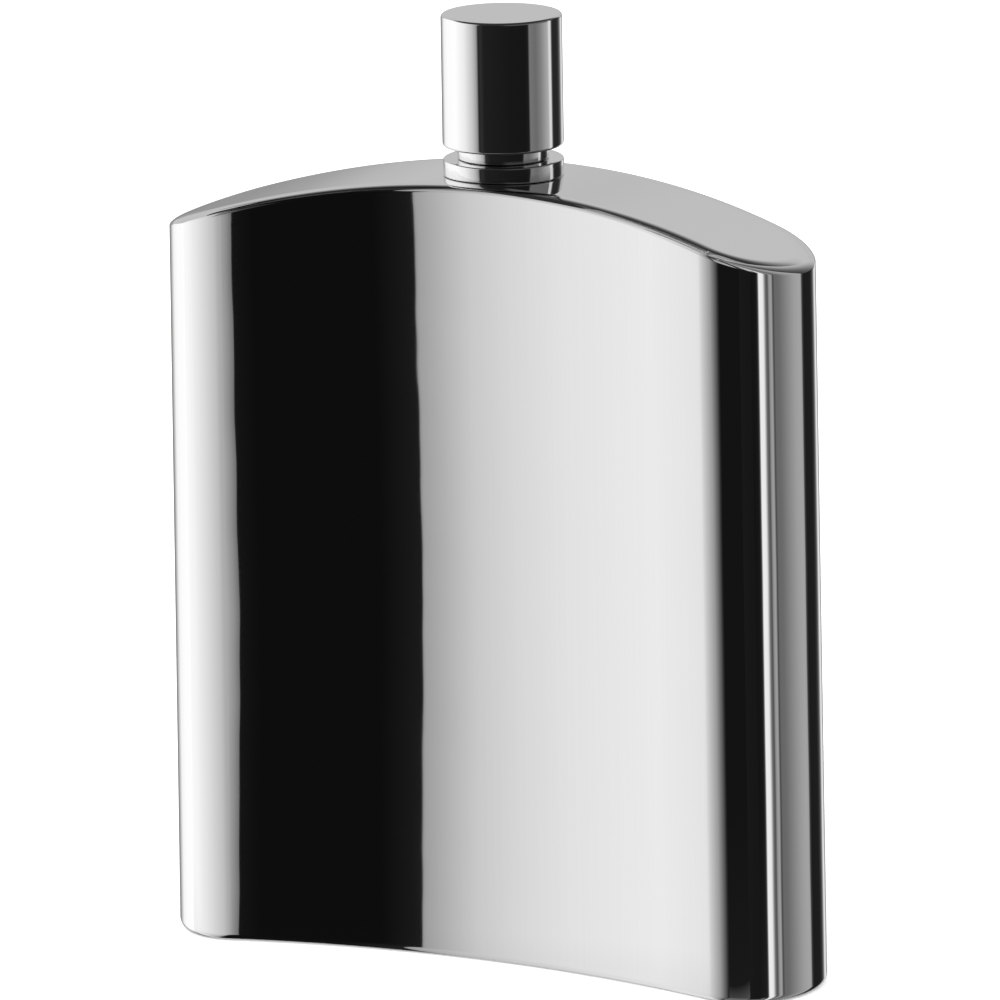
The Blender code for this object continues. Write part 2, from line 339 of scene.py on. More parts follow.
def moulding(name, colour, roughness, grain, soft):
    """A moulded soft or hard plastic with a fine surface grain."""
    material = bpy.data.materials.new(name)
    material.use_nodes = True
    tree = material.node_tree
    shader = tree.nodes["Principled BSDF"]
    coords = add_node(tree, "ShaderNodeTexCoord")
    fine = stretched_noise(tree, coords, (grain, grain, grain), detail=4.0)
    cloudy = stretched_noise(tree, coords, CLOUD_SCALES, detail=2.0)
    vary_tone(tree, shader, colour, remap(tree, cloudy, 0.0, 1.0), PLASTIC_TONE_LOW)
    spread = remap(tree, fine, *[roughness * part for part in PLASTIC_SPREAD])
    link(tree, spread, shader.inputs["Roughness"])
    shader.inputs["Subsurface Weight"].default_value = soft
    shader.inputs["Subsurface Radius"].default_value = PLASTIC_DEPTHS
    bump = add_node(tree, "ShaderNodeBump", Strength=0.5, Distance=MOULDED_GRAIN_DEPTH)
    link(tree, fine, bump.inputs["Height"])
    link(tree, bump.outputs["Normal"], shader.inputs["Normal"])
    return material


# ---------------------------------------------------------------- the body

# A plate's skirt ends at the joint with the wall; its lip goes on inside the wall.
JOINT_DROP = SHEET + 2 * MM
LIP_DROP = 5.1 * MM
LIP_INSET = SHEET + GAP
INNER_BEND = 0.6 * MM
EDGE_STEPS = 14
TOP_EDGE_WIDTH = 2.6 * MM
PLATE_HOLE = 5.4 * MM
PLATE_RINGS = 24


def edge_rings(width):
    """The rounded edge of a pressed plate: (inset, drop below the plate), skirt to plate."""
    quarter = math.pi / 2
    return [
        (
            width * (1 - math.cos(quarter * k / EDGE_STEPS)),
            EDGE_RADIUS * (1 - math.sin(quarter * k / EDGE_STEPS)),
        )
        for k in range(EDGE_STEPS + 1)
    ]


def plate_section(width):
    """Outer then inner side of a pressed plate, as (inset, drop), from its lip to its flat."""
    start = [(LIP_INSET, LIP_DROP), (LIP_INSET, JOINT_DROP), (0.0, JOINT_DROP)]
    outer = start + edge_rings(width)
    inner = [
        (width + SHEET, SHEET),
        (LIP_INSET + SHEET, SHEET + INNER_BEND),
        (LIP_INSET + SHEET, LIP_DROP),
    ]
    return outer, inner


def make_wall(material):
    """The sleeve between the two plates, butt joined to both without a step."""
    outer = plan_outline(0.0)
    inner = plan_outline(SHEET)
    rings = [
        [(x, y, JOINT_DROP) for x, y in outer],
        [(x, y, arch_height(x) - JOINT_DROP) for x, y in outer],
        [(x, y, arch_height(x) - JOINT_DROP) for x, y in inner],
        [(x, y, JOINT_DROP) for x, y in inner],
    ]
    thing = skin("wall_sheet", rings, wrap=True)
    finish_piece(thing, material, "body_wall", "flask")


def toward_circle(ring, radius, share):
    """Plan points part of the way from an outline to a circle about the neck axis."""
    out = []
    for x, y in ring:
        angle = math.atan2(y, x)
        across = radius * math.cos(angle) - x
        along = radius * math.sin(angle) - y
        out.append((x + across * share, y + along * share))
    return out


def make_shoulder(material):
    """The arched plate with its rounded edge, its lip inside the wall and the neck's hole."""
    outer, inner = plate_section(TOP_EDGE_WIDTH)
    rings = []
    for inset, drop in outer:
        rings.append([(x, y, arch_height(x) - drop) for x, y in plan_outline(inset)])
    edge = plan_outline(TOP_EDGE_WIDTH)
    for k in range(1, PLATE_RINGS + 1):
        ring = toward_circle(edge, PLATE_HOLE, k / PLATE_RINGS)
        rings.append([(x, y, arch_height(x)) for x, y in ring])
    inside = plan_outline(inner[0][0])
    for k in range(PLATE_RINGS, -1, -1):
        ring = toward_circle(inside, PLATE_HOLE, k / PLATE_RINGS)
        rings.append([(x, y, arch_height(x) - SHEET) for x, y in ring])
    for inset, drop in inner[1:]:
        rings.append([(x, y, arch_height(x) - drop) for x, y in plan_outline(inset)])
    thing = skin("shoulder_plate", rings, wrap=True)
    finish_piece(thing, material, "top_plate", "flask")


def make_base(material):
    """The flat base with its rounded edge and its lip inside the wall."""
    outer, inner = plate_section(EDGE_RADIUS)
    section = outer[::-1] + inner[::-1]
    rings = [[(x, y, drop) for x, y in plan_outline(inset)] for inset, drop in section]
    thing = skin("base_pan", rings, fill_first=True, fill_last=True)
    finish_piece(thing, material, "base_plate", "flask")


# ---------------------------------------------------------------- neck and cap

COLLAR_HOLE = 5.15 * MM
CONTACT = 0.04 * MM
BROKEN_EDGE = 0.22 * MM
AXIS_RING = 0.05 * MM

# The neck, with a flange under the shoulder plate and a plain shoulder above the collar.
FLANGE_RADIUS = neck_high.x
FLANGE_THICKNESS = 0.9 * MM
BORE_RADIUS = 4.2 * MM
SPIGOT_RADIUS = 5.1 * MM
SHOULDER_RADIUS = 6.25 * MM
SHOULDER_TOP = COLLAR_TOP + 2.9 * MM
NECK_TOP = neck_high.z
RIM_DEPTH = 0.4 * MM
ROLLED_EDGE = 0.3 * MM

# The thread: its ridge has a flat crest and two sloping flanks, and fades over a third of a turn.
PITCH = 1.5 * MM
HALF_CREST = 0.15 * MM
FLANK = 0.22 * MM
FADE_RATE = 3
THREAD_START = SHOULDER_TOP + 1.0 * MM
THREAD_TURNS = 4
THREAD_CREST = 5.8 * MM
THREAD_ROWS = 110
THREAD_WALL = (SHOULDER_TOP + 0.1 * MM, NECK_TOP - 0.45 * MM)

# The cap, its liner and the sealing disc.
CAP_SHEET = 0.6 * MM
CAP_EDGE = 0.42 * MM
LINER_EDGE = 0.4 * MM
LINER_MOUTH_EDGE = 0.15 * MM
CLEARANCE = 0.25 * MM
SEAT_DEPTH = 1.3 * MM
SEAT_WALL = 0.7 * MM
SEAL_BAND = 3.9 * MM
DISH_DEPTH = 0.25 * MM
DISH_SLOPE = 0.3 * MM
SOFT_EDGE = 0.25 * MM
FINE_EDGE = 0.1 * MM


def make_collar(material):
    """The turned flange, with small broken edges and an underside that follows the arch."""
    low = BODY_HEIGHT + CONTACT
    outline = [
        (COLLAR_HOLE, low),
        (COLLAR_HOLE, COLLAR_TOP),
        (COLLAR_RADIUS, COLLAR_TOP),
        (COLLAR_RADIUS, low),
    ]
    rings = turned_rings(outline, (0, 0, BROKEN_EDGE, BROKEN_EDGE))
    thing = skin("collar_ring", rings, wrap=True)
    for vertex in thing.data.vertices:
        if vertex.co.z < low + 2 * BROKEN_EDGE:
            vertex.co.z += arch_height(vertex.co.x) - BODY_HEIGHT
    finish_piece(thing, material, "neck_collar", "flask")


def ridge_share(phase):
    """How far a thread stands out at a height, as a share of its depth; phase is in pitches."""
    away = abs(phase - round(phase)) * PITCH
    return min(1.0, max(0.0, 1 - (away - HALF_CREST) / FLANK))


def threaded_rings(root, crest, low, high, start):
    """Rings up a threaded wall: the ridge climbs one pitch a turn and runs out at both ends."""
    rings = []
    for row in range(THREAD_ROWS + 1):
        height = low + (high - low) * row / THREAD_ROWS
        ring = []
        for k in range(TURN_STEPS):
            angle = 2 * math.pi * k / TURN_STEPS
            along = (height - start) / PITCH - k / TURN_STEPS
            climbed = round(along) + k / TURN_STEPS
            from_end = min(climbed, THREAD_TURNS - climbed)
            runout = min(1.0, max(0.0, from_end * FADE_RATE))
            radius = root + (crest - root) * ridge_share(along) * runout
            ring.append((radius * math.cos(angle), radius * math.sin(angle), height))
        rings.append(ring)
    return rings


def make_neck(material):
    """The pouring neck: flange, spigot, plain shoulder, rolled thread and rounded rim."""
    flange_low = neck_low.z
    flange_top = flange_low + FLANGE_THICKNESS
    below = [
        (BORE_RADIUS, flange_low),
        (FLANGE_RADIUS, flange_low),
        (FLANGE_RADIUS, flange_top),
        (SPIGOT_RADIUS, flange_top),
        (SPIGOT_RADIUS, COLLAR_TOP + CONTACT),
        (SHOULDER_RADIUS, COLLAR_TOP + CONTACT),
        (SHOULDER_RADIUS, SHOULDER_TOP),
        (SPIGOT_RADIUS, SHOULDER_TOP),
    ]
    rings = turned_rings(below, (0, 0, 0, 0, 0, BROKEN_EDGE, ROLLED_EDGE, 0))
    rings += threaded_rings(SPIGOT_RADIUS, THREAD_CREST, *THREAD_WALL, THREAD_START)
    rim = [
        (SPIGOT_RADIUS, NECK_TOP - RIM_DEPTH),
        (SPIGOT_RADIUS, NECK_TOP),
        (BORE_RADIUS, NECK_TOP),
        (BORE_RADIUS, NECK_TOP - RIM_DEPTH),
    ]
    rings += turned_rings(rim, (0, ROLLED_EDGE, ROLLED_EDGE, 0))
    thing = skin("neck_tube", rings, wrap=True)
    finish_piece(thing, material, "neck_spout", "flask", SHARP_THREAD)


def make_cap(material):
    """The plain cup, with a finely broken top edge, a rolled lower edge and a hollow inside."""
    inner = CAP_RADIUS - CAP_SHEET
    bottom, top = cap_low.z, cap_high.z
    ceiling = top - CAP_SHEET
    outline = [
        (AXIS_RING, top),
        (CAP_RADIUS, top),
        (CAP_RADIUS, bottom),
        (inner, bottom),
        (inner, ceiling),
        (AXIS_RING, ceiling),
    ]
    rings = turned_rings(outline, (0, CAP_EDGE, CAP_EDGE, FINE_EDGE, 0, 0))
    thing = skin("cap_cup", rings, fill_first=True, fill_last=True)
    finish_piece(thing, material, "cap_shell", "cap")


def make_liner(material):
    """The moulded insert of the cap, with its internal thread and its seat for the disc."""
    root = THREAD_CREST + CLEARANCE
    crest = SPIGOT_RADIUS + CLEARANCE
    outer = liner_high.x
    bottom, top = liner_low.z, liner_high.z
    mouth = SHOULDER_RADIUS + GAP
    seat = top - SEAT_DEPTH
    cone_low = SHOULDER_TOP + GAP
    cone_high = cone_low + mouth - root
    outside = [
        (AXIS_RING, top),
        (outer, top),
        (outer, bottom),
        (mouth, bottom),
        (mouth, cone_low),
        (root, cone_high),
    ]
    radii = (0, LINER_EDGE, LINER_MOUTH_EDGE, LINER_MOUTH_EDGE, 0, 0)
    start = THREAD_START + PITCH / 2
    rings = turned_rings(outside, radii)
    rings += threaded_rings(root, crest, cone_high + GAP, NECK_TOP + SEAT_WALL, start)
    rings.append(circle(root, seat))
    rings.append(circle(AXIS_RING, seat))
    thing = skin("cap_insert", rings, fill_first=True, fill_last=True)
    finish_piece(thing, material, "cap_liner", "cap", SHARP_THREAD)


def make_gasket(material):
    """The sealing disc: soft rounded edges and a shallow dish inside its sealing band."""
    radius = gasket_high.x
    bottom, top = gasket_low.z, gasket_high.z
    dish = bottom + DISH_DEPTH
    outline = [
        (AXIS_RING, top),
        (radius, top),
        (radius, bottom),
        (SEAL_BAND, bottom),
        (SEAL_BAND - DISH_SLOPE, dish),
        (AXIS_RING, dish),
    ]
    rings = turned_rings(outline, (0, SOFT_EDGE, SOFT_EDGE, FINE_EDGE, FINE_EDGE, 0))
    thing = skin("sealing_disc", rings, fill_first=True, fill_last=True)
    finish_piece(thing, material, "cap_gasket", "seal")


# ---------------------------------------------------------------- studio

FULL_LEVEL = 255


def glow(level):
    """Light that polished steel shows as a display level from 0 to 255, by the sRGB curve."""
    share = level / FULL_LEVEL
    linear = share / 12.92 if share <= 0.04045 else ((share + 0.055) / 1.055) ** 2.4
    return linear / STEEL_REFLECTANCE


# A card's path from under the flask, out to its upright part and back over the flask. Each row
# is (share of the way from the body to the upright part, height, drift along X), in mm. The
# drift leans a band's edge; it is full left of DRIFT_FULL and mostly lost right of DRIFT_LEAST.
CARD_PATH = (
    (-1.0, -12, -6),
    (0.3, -12, -4),
    (1.0, -7.4, -0.5),
    (1.0, -3.8, -0.4),
    (1.0, 20, -0.05),
    (1.0, 45, 0.1),
    (1.0, 70, 0),
    (1.0, 94.5, -0.15),
    (1.0, 97.5, -0.2),
    (1.0, 104, -0.3),
    (1.0, 116, -0.6),
    (0.6, 140, -15),
    (0.1, 150, -21),
    (-2.2, 150, -28),
)
HOOD_PATH = ((1.0, 98, 0), (1.0, 116, 0), (1.0, 150, 0))
DRIFT_FULL = -9
DRIFT_LEAST = 18
DRIFT_LOSS = 0.8

# Cards are clear to pieces this near the neck's axis, and after the first reflection.
NECK_ZONE = 9.5 * MM
FIRST_REFLECTION = 1.5


def only_from_body(tree, emission):
    """Light for mirrors outside the neck zone; to the cap, collar and neck it is clear."""
    geometry = add_node(tree, "ShaderNodeNewGeometry")
    path = add_node(tree, "ShaderNodeLightPath")
    back = add_node(tree, "ShaderNodeVectorMath", operation="SCALE")
    link(tree, geometry.outputs["Incoming"], back.inputs[0])
    link(tree, path.outputs["Ray Length"], back.inputs["Scale"])
    source = add_node(tree, "ShaderNodeVectorMath", operation="ADD")
    link(tree, geometry.outputs["Position"], source.inputs[0])
    link(tree, back.outputs["Vector"], source.inputs[1])
    flat = add_node(tree, "ShaderNodeVectorMath", operation="MULTIPLY")
    flat.inputs[1].default_value = (1.0, 1.0, 0.0)
    link(tree, source.outputs["Vector"], flat.inputs[0])
    reach = add_node(tree, "ShaderNodeVectorMath", operation="LENGTH")
    link(tree, flat.outputs["Vector"], reach.inputs[0])
    beyond = compute(tree, "GREATER_THAN", reach.outputs["Value"], NECK_ZONE)
    direct = compute(tree, "LESS_THAN", path.outputs["Ray Depth"], FIRST_REFLECTION)
    clear = add_node(tree, "ShaderNodeBsdfTransparent")
    pick = add_node(tree, "ShaderNodeMixShader")
    link(tree, compute(tree, "MULTIPLY", beyond, direct), pick.inputs["Fac"])
    link(tree, clear.outputs["BSDF"], pick.inputs[1])
    link(tree, emission.outputs["Emission"], pick.inputs[2])
    return pick.outputs["Shader"]


def drift_share(x):
    """Share of the drift that a place of the body uses: less towards the +X end."""
    share = (x - DRIFT_FULL) / (DRIFT_LEAST - DRIFT_FULL)
    return 1 - DRIFT_LOSS * min(1, max(0, share))


def make_card(name, stops, path=CARD_PATH):
    """A glowing card that only the body mirrors: stops are (foot, place, levels).

    A foot is the point of the body that mirrors that place of the card; both are in mm.
    """
    mesh = bpy.data.meshes.new(name)
    points = []
    shades = []
    for foot, place, levels in stops:
        for (share, height, drift), level in zip(path, levels):
            x = foot[0] + (place[0] - foot[0]) * share + drift * drift_share(foot[0])
            y = foot[1] + (place[1] - foot[1]) * share
            points.append((x * MM, y * MM, height * MM))
            shades.append(glow(level))
    rows = len(path)
    faces = [
        (rows * k + j, rows * (k + 1) + j, rows * (k + 1) + j + 1, rows * k + j + 1)
        for k in range(len(stops) - 1)
        for j in range(rows - 1)
    ]
    mesh.from_pydata(points, [], faces)
    shine = mesh.attributes.new("glow", "FLOAT", "POINT")
    shine.data.foreach_set("value", shades)
    material = bpy.data.materials.new(name)
    material.use_nodes = True
    tree = material.node_tree
    tree.nodes.clear()
    value = add_node(tree, "ShaderNodeAttribute", attribute_name="glow")
    emission = add_node(tree, "ShaderNodeEmission")
    output = add_node(tree, "ShaderNodeOutputMaterial")
    link(tree, value.outputs["Fac"], emission.inputs["Strength"])
    link(tree, only_from_body(tree, emission), output.inputs["Surface"])
    mesh.materials.append(material)
    card = bpy.data.objects.new(name, mesh)
    bpy.context.scene.collection.objects.link(card)
    card.visible_camera = False
    card.visible_diffuse = False
    card.visible_shadow = False
    card.visible_transmission = False


# The mirrored studio all round: (heading in degrees from -Y towards +X, level that polished
# steel shows).
STUDIO_BANDS = (
    (-180, 225),
    (-168, 120),
    (-160, 70),
    (-148, 80),
    (-132, 150),
    (-117, 240),
    (-100, 252),
    (-75, 255),
    (-52, 236),
    (-43, 216),
    (-34, 195),
    (-27, 165),
    (-23.5, 135),
    (-21.5, 36),
    (-16, 46),
    (-10, 30),
    (40, 23),
    (70, 22),
    (76.5, 30),
    (79, 116),
    (92, 106),
    (103, 126),
    (123, 172),
    (126, 212),
    (131, 218),
    (134, 90),
    (137, 38),
    (154, 38),
    (161, 60),
    (169, 120),
    (174, 200),
    (180, 225),
)


# The wall behind: (sine of the elevation, level that polished steel shows).
BACK_WALL = (
    (-0.10, 138),
    (-0.04, 140),
    (0.02, 153),
    (0.0765, 173),
    (0.131, 182),
    (0.20, 183),
    (0.28, 181),
    (0.33, 186),
    (0.40, 188),
    (0.45, 178),
    (0.52, 130),
    (0.60, 78),
    (0.68, 55),
)


def add_ramp(tree, stops):
    """A colour ramp of grey levels."""
    node = add_node(tree, "ShaderNodeValToRGB")
    ramp = node.color_ramp
    for k, (place, level) in enumerate(stops):
        stop = ramp.elements[k] if k < 2 else ramp.elements.new(place)
        stop.position = place
        shade = glow(level)
        stop.color = (shade, shade, shade, 1.0)
    return node


# Patches of the mirrored studio. Each fades in over ranges of the direction that a mirror looks
# in: its parts along X, Y and Z (the sine of the elevation), or its heading as a share of a full
# turn from due +Y. BEHIND_LEFT is measured along -X, and SIDE_TURN_END on the turn made negative.
BEHIND_Y = (0.5, 0.7)
BEHIND_LEFT = (-0.25, -0.05)
BEHIND_Z = (-0.16, -0.08)
SIDE_TURN = (0.710, 0.720)
SIDE_TURN_END = (-0.847, -0.842)
SIDE_Z = (-0.04, 0.12)
SIDE_LEVEL = 104
HIGH_RIGHT_X = (0.3, 0.6)
HIGH_RIGHT_Z = (0.24, 0.4)
HIGH_RIGHT_LEVEL = 92
OVERHEAD_Z = (0.55, 0.72)
OVERHEAD_LEVEL = 48
UNDERFOOT_Z = (0.5, 0.8)
UNDERFOOT_LEVEL = 115


def zone(tree, limits, source):
    """0 below the lower limit and 1 above the upper one, smoothly."""
    node = add_node(tree, "ShaderNodeMapRange", interpolation_type="SMOOTHSTEP")
    node.inputs["From Min"].default_value = limits[0]
    node.inputs["From Max"].default_value = limits[1]
    link(tree, source, node.inputs["Value"])
    return node.outputs["Result"]


def blend(tree, share, first, second):
    """A mix of two lights by a share; the second may be a plain level."""
    node = add_node(tree, "ShaderNodeMix", data_type="RGBA")
    link(tree, share, node.inputs["Factor"])
    link(tree, first, node.inputs["A"])
    if isinstance(second, int):
        shade = glow(second)
        node.inputs["B"].default_value = (shade, shade, shade, 1.0)
    else:
        link(tree, second, node.inputs["B"])
    return node.outputs["Result"]


def studio_light(tree):
    """The light that a mirror sees in each direction."""
    coords = add_node(tree, "ShaderNodeTexCoord")
    split = add_node(tree, "ShaderNodeSeparateXYZ")
    link(tree, coords.outputs["Generated"], split.inputs["Vector"])
    across, deep, height = (split.outputs[axis] for axis in "XYZ")
    frontward = compute(tree, "MULTIPLY", deep, -1.0)
    leftward = compute(tree, "MULTIPLY", across, -1.0)
    downward = compute(tree, "MULTIPLY", height, -1.0)

    heading = compute(tree, "ARCTAN2", across, frontward)
    turn = compute(tree, "MULTIPLY_ADD", heading, 1 / (2 * math.pi), 0.5)
    turned_back = compute(tree, "MULTIPLY", turn, -1.0)
    bands = add_ramp(tree, [((angle + 180) / 360, level) for angle, level in STUDIO_BANDS])
    link(tree, turn, bands.inputs["Fac"])
    rise = compute(tree, "MULTIPLY_ADD", height, 0.5, 0.5)
    wall = add_ramp(tree, [((sine + 1) / 2, level) for sine, level in BACK_WALL])
    link(tree, rise, wall.inputs["Fac"])

    def both(first, second):
        """The product of two shares."""
        return compute(tree, "MULTIPLY", first, second)

    side = both(zone(tree, SIDE_TURN, turn), zone(tree, SIDE_Z, height))
    side = both(side, zone(tree, SIDE_TURN_END, turned_back))
    high_right = both(zone(tree, HIGH_RIGHT_X, across), zone(tree, HIGH_RIGHT_Z, height))
    behind = both(zone(tree, BEHIND_Y, deep), zone(tree, BEHIND_LEFT, leftward))
    behind = both(behind, zone(tree, BEHIND_Z, height))

    light = blend(tree, side, bands.outputs["Color"], SIDE_LEVEL)
    light = blend(tree, high_right, light, HIGH_RIGHT_LEVEL)
    light = blend(tree, behind, light, wall.outputs["Color"])
    light = blend(tree, zone(tree, OVERHEAD_Z, height), light, OVERHEAD_LEVEL)
    return blend(tree, zone(tree, UNDERFOOT_Z, downward), light, UNDERFOOT_LEVEL)


def make_world():
    """A white room for plain surfaces, and a banded studio for whatever mirrors see."""
    world = bpy.data.worlds.new("studio")
    bpy.context.scene.world = world
    world.use_nodes = True
    tree = world.node_tree
    tree.nodes.clear()
    mirrored = add_node(tree, "ShaderNodeBackground")
    link(tree, studio_light(tree), mirrored.inputs["Color"])
    room = add_node(tree, "ShaderNodeBackground")
    room.inputs["Color"].default_value = (1.0, 1.0, 1.0, 1.0)
    path = add_node(tree, "ShaderNodeLightPath")
    pick = add_node(tree, "ShaderNodeMixShader")
    link(tree, path.outputs["Is Glossy Ray"], pick.inputs["Fac"])
    link(tree, room.outputs["Background"], pick.inputs[1])
    link(tree, mirrored.outputs["Background"], pick.inputs[2])
    output = add_node(tree, "ShaderNodeOutputWorld")
    link(tree, pick.outputs["Shader"], output.inputs["Surface"])


# The floor's reach in metres, its tone, and the faint light of its own that keeps it pale.
FLOOR_REACH = 6.0
FLOOR_TONE = 0.93
FLOOR_GLOW = 0.3
FLOOR_DROP = 0.05 * MM


def make_floor():
    """A plain pale floor that mirrors don't see."""
    mesh = bpy.data.meshes.new("floor")
    side = FLOOR_REACH
    corners = [(-side, -side, 0), (side, -side, 0), (side, side, 0), (-side, side, 0)]
    mesh.from_pydata(corners, [], [(0, 1, 2, 3)])
    material = bpy.data.materials.new("pale_floor")
    material.use_nodes = True
    shader = material.node_tree.nodes["Principled BSDF"]
    shader.inputs["Base Color"].default_value = (FLOOR_TONE, FLOOR_TONE, FLOOR_TONE, 1.0)
    shader.inputs["Roughness"].default_value = 0.9
    shader.inputs["Specular IOR Level"].default_value = 0.0
    shader.inputs["Emission Color"].default_value = (1.0, 1.0, 1.0, 1.0)
    shader.inputs["Emission Strength"].default_value = FLOOR_GLOW
    mesh.materials.append(material)
    floor = bpy.data.objects.new("floor", mesh)
    bpy.context.scene.collection.objects.link(floor)
    floor.location.z = cad_low.z - FLOOR_DROP
    floor.visible_glossy = False


def make_light(name, place, size, power):
    """A soft lamp aimed at the flask, unseen by mirrors."""
    data = bpy.data.lights.new(name, "AREA")
    data.size = size
    data.energy = power
    lamp = bpy.data.objects.new(name, data)
    bpy.context.scene.collection.objects.link(lamp)
    lamp.location = place
    aim = Vector((0, 0, BODY_HEIGHT / 2)) - Vector(place)
    lamp.rotation_euler = aim.to_track_quat("-Z", "Y").to_euler()
    lamp.visible_glossy = False


def column(level, shares):
    """Levels along a card's path as shares of the level of its upright part."""
    return [min(FULL_LEVEL, level * share) for share in shares]


# Levels along the rows of CARD_PATH, as shares of the level of a card's upright part: EVEN stays
# about the same, SIDE and GENTLE darken over the flask, DARK and SHEEN brighten a dark band.
EVEN = (0.96, 0.96, 0.98, 1, 1, 1, 1, 1, 1, 1, 0.98, 0.93, 0.88, 0.78)
SIDE = (0.9, 0.95, 1, 1, 1, 1, 1, 1, 0.7, 0.45, 0.3, 0.2, 0.13, 0.1)
GENTLE = (0.9, 0.95, 1, 1, 1, 1, 1, 1, 1, 0.97, 0.92, 0.85, 0.4, 0.06)
DARK = (1.2, 1.2, 1.1, 1, 1, 1, 1, 1, 1, 1, 1, 1, 1, 1)
SHEEN = (6.0, 6.0, 4.6, 1.3, 1, 1, 1, 1, 5, 9.5, 9, 1.5, 1, 1)

CAMERA_HEADING = math.radians(25.213)

# Places of the cards in mm: the flat front ones, the one round the +X end and the hood.
FRONT_CARD_Y = -36
END_CARD_RADIUS = 25
HOOD_RADIUS = 48
HOOD_HEADINGS = (-70, -90, -110, -130)
HOOD_LEVEL = 190

# GENTLE is used left of this x on a card, and SHEEN on the end card before this heading.
GENTLE_X = -42
SHEEN_HEADING = 60

# Past the first of these headings, the last rows of the end card have these levels.
LIMB_TOP_ROWS = 6
LIMB_TOP_LEVELS = ((133, 66), (146, 60), (165, 120), (180, 184))

# Stops of the front cards: (x on the body, x on the card, level), in mm.
FRONT_LIGHT_LEFT = (
    (-47, -120, 250),
    (-45, -90, 248),
    (-43.5, -72, 243),
    (-42.4, -57.7, 231),
    (-41.5, -49.2, 219),
    (-40.7, -43, 205),
    (-39.8, -37.6, 190),
    (-38.9, -34.3, 168),
    (-38.2, -33.6, 143),
    (-37.3, -33.05, 110),
)
FRONT_DARK = ((-37.2, -32.95, 20), (-35, -31, 13), (-20, -20, 13), (-10.6, -16.5, 26))
FRONT_LIGHT_RIGHT = (
    (-10.5, -16.4, 130),
    (-10.2, -16.2, 158),
    (-9, -15.2, 168),
    (-2.6, -11.7, 201),
    (4, -8.5, 214),
    (10.5, -4, 226),
    (23.6, 3.7, 235),
    (28, 8.2, 227),
    (30.2, 12.5, 208),
    (31.3, 20.3, 182),
    (31.9, 26, 155),
    (32.5, 30.2, 108),
    (33, 33.6, 46),
)
FRONT_SHADE = ((33.1, 34.6, 19), (34.8, 40, 19), (37, 52, 19))

# Bands of the end card: (heading in degrees of the mirrored ray as it leaves the body, level).
END_BANDS = (
    (50, 19),
    (58, 22),
    (60.5, 32),
    (62.5, 80),
    (64.5, 238),
    (69.5, 232),
    (73, 112),
    (76, 76),
    (78.5, 146),
    (81.5, 160),
    (84, 66),
    (86.5, 102),
    (93, 106),
    (101, 124),
    (109, 140),
    (119, 156),
    (128, 163),
    (133, 160),
    (136, 58),
    (140, 28),
    (158, 30),
    (164, 50),
    (170, 100),
    (176, 200),
    (180, 245),
)


def front_stops(rows, shares):
    """Stops of a flat card in front of the body."""
    middle = (wall_low.y + EDGE_RADIUS) / MM
    stops = []
    for foot, x, level in rows:
        used = GENTLE if x < GENTLE_X else shares
        stops.append(((foot, middle), (x, FRONT_CARD_Y), column(level, used)))
    return stops


def limb_top_level(heading):
    """Level of the top of the end card's far part, which only the plate's edge mirrors."""
    for near, far in zip(LIMB_TOP_LEVELS, LIMB_TOP_LEVELS[1:]):
        if heading <= far[0]:
            share = (heading - near[0]) / (far[0] - near[0])
            return near[1] + (far[1] - near[1]) * share
    return LIMB_TOP_LEVELS[-1][1]


def end_stops():
    """Stops of the card round the +X end, which spread the bands as the camera sees them."""
    centre = ((HALF_WIDTH - END_RADIUS) / MM, END_CENTRE_Y / MM)
    radius = END_RADIUS / MM
    stops = []
    for heading, level in END_BANDS:
        ray = math.radians(heading)
        facing = (ray + CAMERA_HEADING) / 2
        place = ray - math.asin(radius / END_CARD_RADIUS * math.sin(ray - facing))
        foot = (centre[0] + radius * math.sin(facing), centre[1] - radius * math.cos(facing))
        spot = (
            centre[0] + END_CARD_RADIUS * math.sin(place),
            centre[1] - END_CARD_RADIUS * math.cos(place),
        )
        levels = column(level, SHEEN if heading < SHEEN_HEADING else EVEN)
        if heading > LIMB_TOP_LEVELS[0][0]:
            levels[-LIMB_TOP_ROWS:] = [limb_top_level(heading)] * LIMB_TOP_ROWS
        stops.append((foot, spot, levels))
    return stops


def hood_stops():
    """Stops of a grey hood beside the top of the -X end."""
    centre = (-(HALF_WIDTH - END_RADIUS) / MM, END_CENTRE_Y / MM)
    stops = []
    for heading in HOOD_HEADINGS:
        angle = math.radians(heading)
        x = centre[0] + HOOD_RADIUS * math.sin(angle)
        y = centre[1] - HOOD_RADIUS * math.cos(angle)
        stops.append((centre, (x, y), [HOOD_LEVEL] * len(HOOD_PATH)))
    return stops


def make_cards():
    """Cards round the body, which the cap and the collar look through."""
    make_card("card_left", front_stops(FRONT_LIGHT_LEFT, SIDE))
    make_card("card_middle", front_stops(FRONT_DARK, DARK))
    make_card("card_right", front_stops(FRONT_LIGHT_RIGHT, EVEN))
    make_card("card_shade", front_stops(FRONT_SHADE, SHEEN))
    make_card("card_end", end_stops())
    make_card("card_hood", hood_stops(), HOOD_PATH)


# ---------------------------------------------------------------- camera

CAMERA_DISTANCE = 1058.0 * MM
CAMERA_HEIGHT = 315.8 * MM
CAMERA_ROLL = math.radians(0.909)
CAMERA_CLIP = (0.05, 50.0)
SENSOR_WIDTH = 36.0
CAMERA_LENS = 281.6
LENS_SHIFT = (0.03783, -1.88576)

# How near the camera must be to its own height for the lens shift to hold, in metres.
SAME_HEIGHT = 0.00001


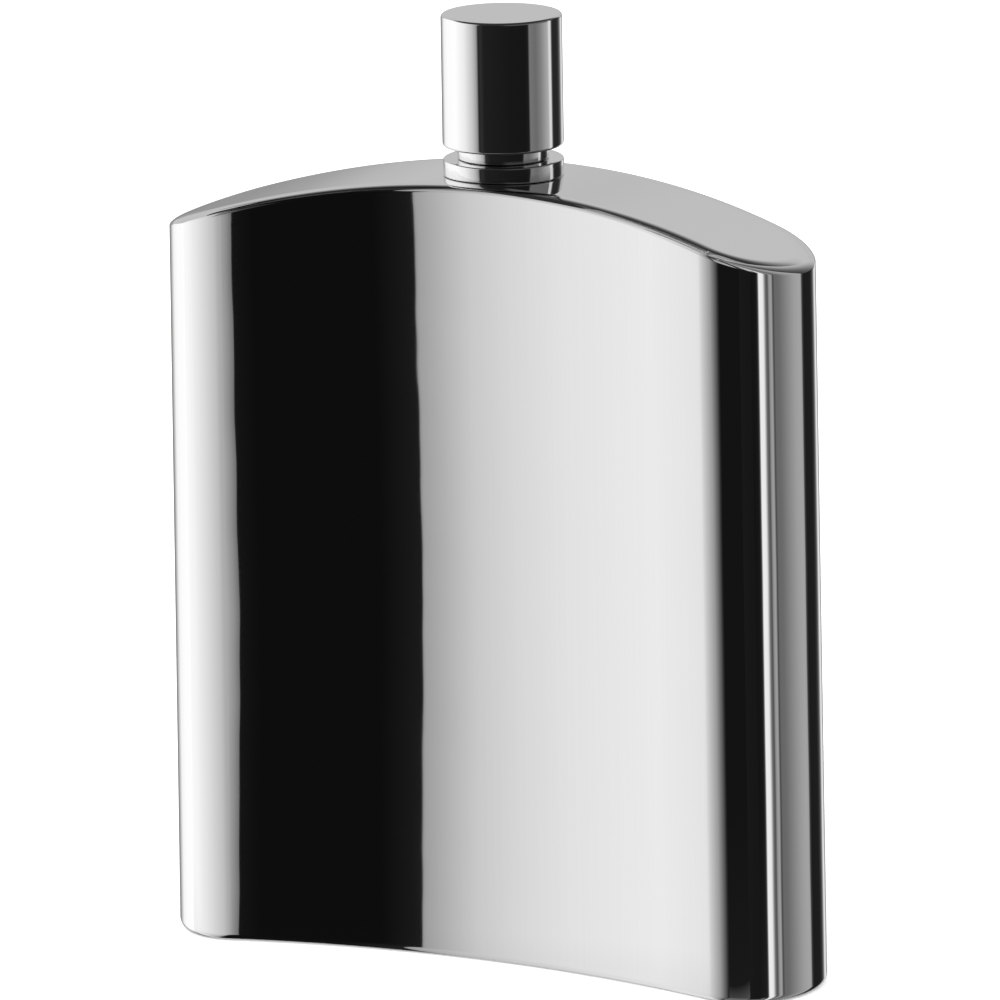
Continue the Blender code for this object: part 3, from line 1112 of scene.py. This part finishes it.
def drive_shift(camera, axis, amount):
    """Shift the lens only while the camera stands at its own viewpoint."""
    curve = camera.data.driver_add(axis)
    driver = curve.driver
    driver.type = "SCRIPTED"
    here = driver.variables.new()
    here.name = "height"
    here.type = "TRANSFORMS"
    here.targets[0].id = camera
    here.targets[0].transform_type = "LOC_Z"
    here.targets[0].transform_space = "WORLD_SPACE"
    near = f"abs(height - {CAMERA_HEIGHT:.6f}) < {SAME_HEIGHT:.5f}"
    driver.expression = f"{amount} if {near} else 0.0"


def make_camera():
    """A level camera with a shifted lens, so that upright edges stay upright."""
    data = bpy.data.cameras.new("camera")
    camera = bpy.data.objects.new("camera", data)
    bpy.context.scene.collection.objects.link(camera)
    data.lens = CAMERA_LENS
    data.sensor_width = SENSOR_WIDTH
    data.clip_start, data.clip_end = CAMERA_CLIP
    camera.location = (
        CAMERA_DISTANCE * math.sin(CAMERA_HEADING),
        END_CENTRE_Y - CAMERA_DISTANCE * math.cos(CAMERA_HEADING),
        CAMERA_HEIGHT,
    )
    camera.rotation_euler = (math.pi / 2, CAMERA_ROLL, CAMERA_HEADING)
    drive_shift(camera, "shift_x", LENS_SHIFT[0])
    drive_shift(camera, "shift_y", LENS_SHIFT[1])
    bpy.context.scene.camera = camera


# ---------------------------------------------------------------- build

polished = steel("polished_steel", STEEL_REFLECTANCE, DRAWN_STREAKS, 0.025, wave=BODY_WAVE)
cap_steel = steel("cap_steel", STEEL_REFLECTANCE, DRAWN_STREAKS, 0.04, wave=CAP_WAVE)
turned = steel("turned_steel", TURNED_REFLECTANCE, TURNED_STREAKS, 0.07, wave=0.0)
plastic = moulding("liner_plastic", LINER_COLOUR, roughness=0.42, grain=2600.0, soft=0.25)
silicone = moulding("gasket_silicone", GASKET_COLOUR, roughness=0.5, grain=1800.0, soft=0.4)

make_wall(polished)
make_shoulder(polished)
make_base(polished)
make_collar(cap_steel)
make_neck(turned)
make_cap(cap_steel)
make_liner(plastic)
make_gasket(silicone)

make_world()
make_floor()
make_cards()
make_light("key_light", (-0.5, -0.9, 1.4), size=1.2, power=11.0)
make_light("fill_light", (0.9, -0.3, 1.1), size=1.0, power=4.0)
make_camera()
bpy.context.scene.view_settings.view_transform = "Standard"
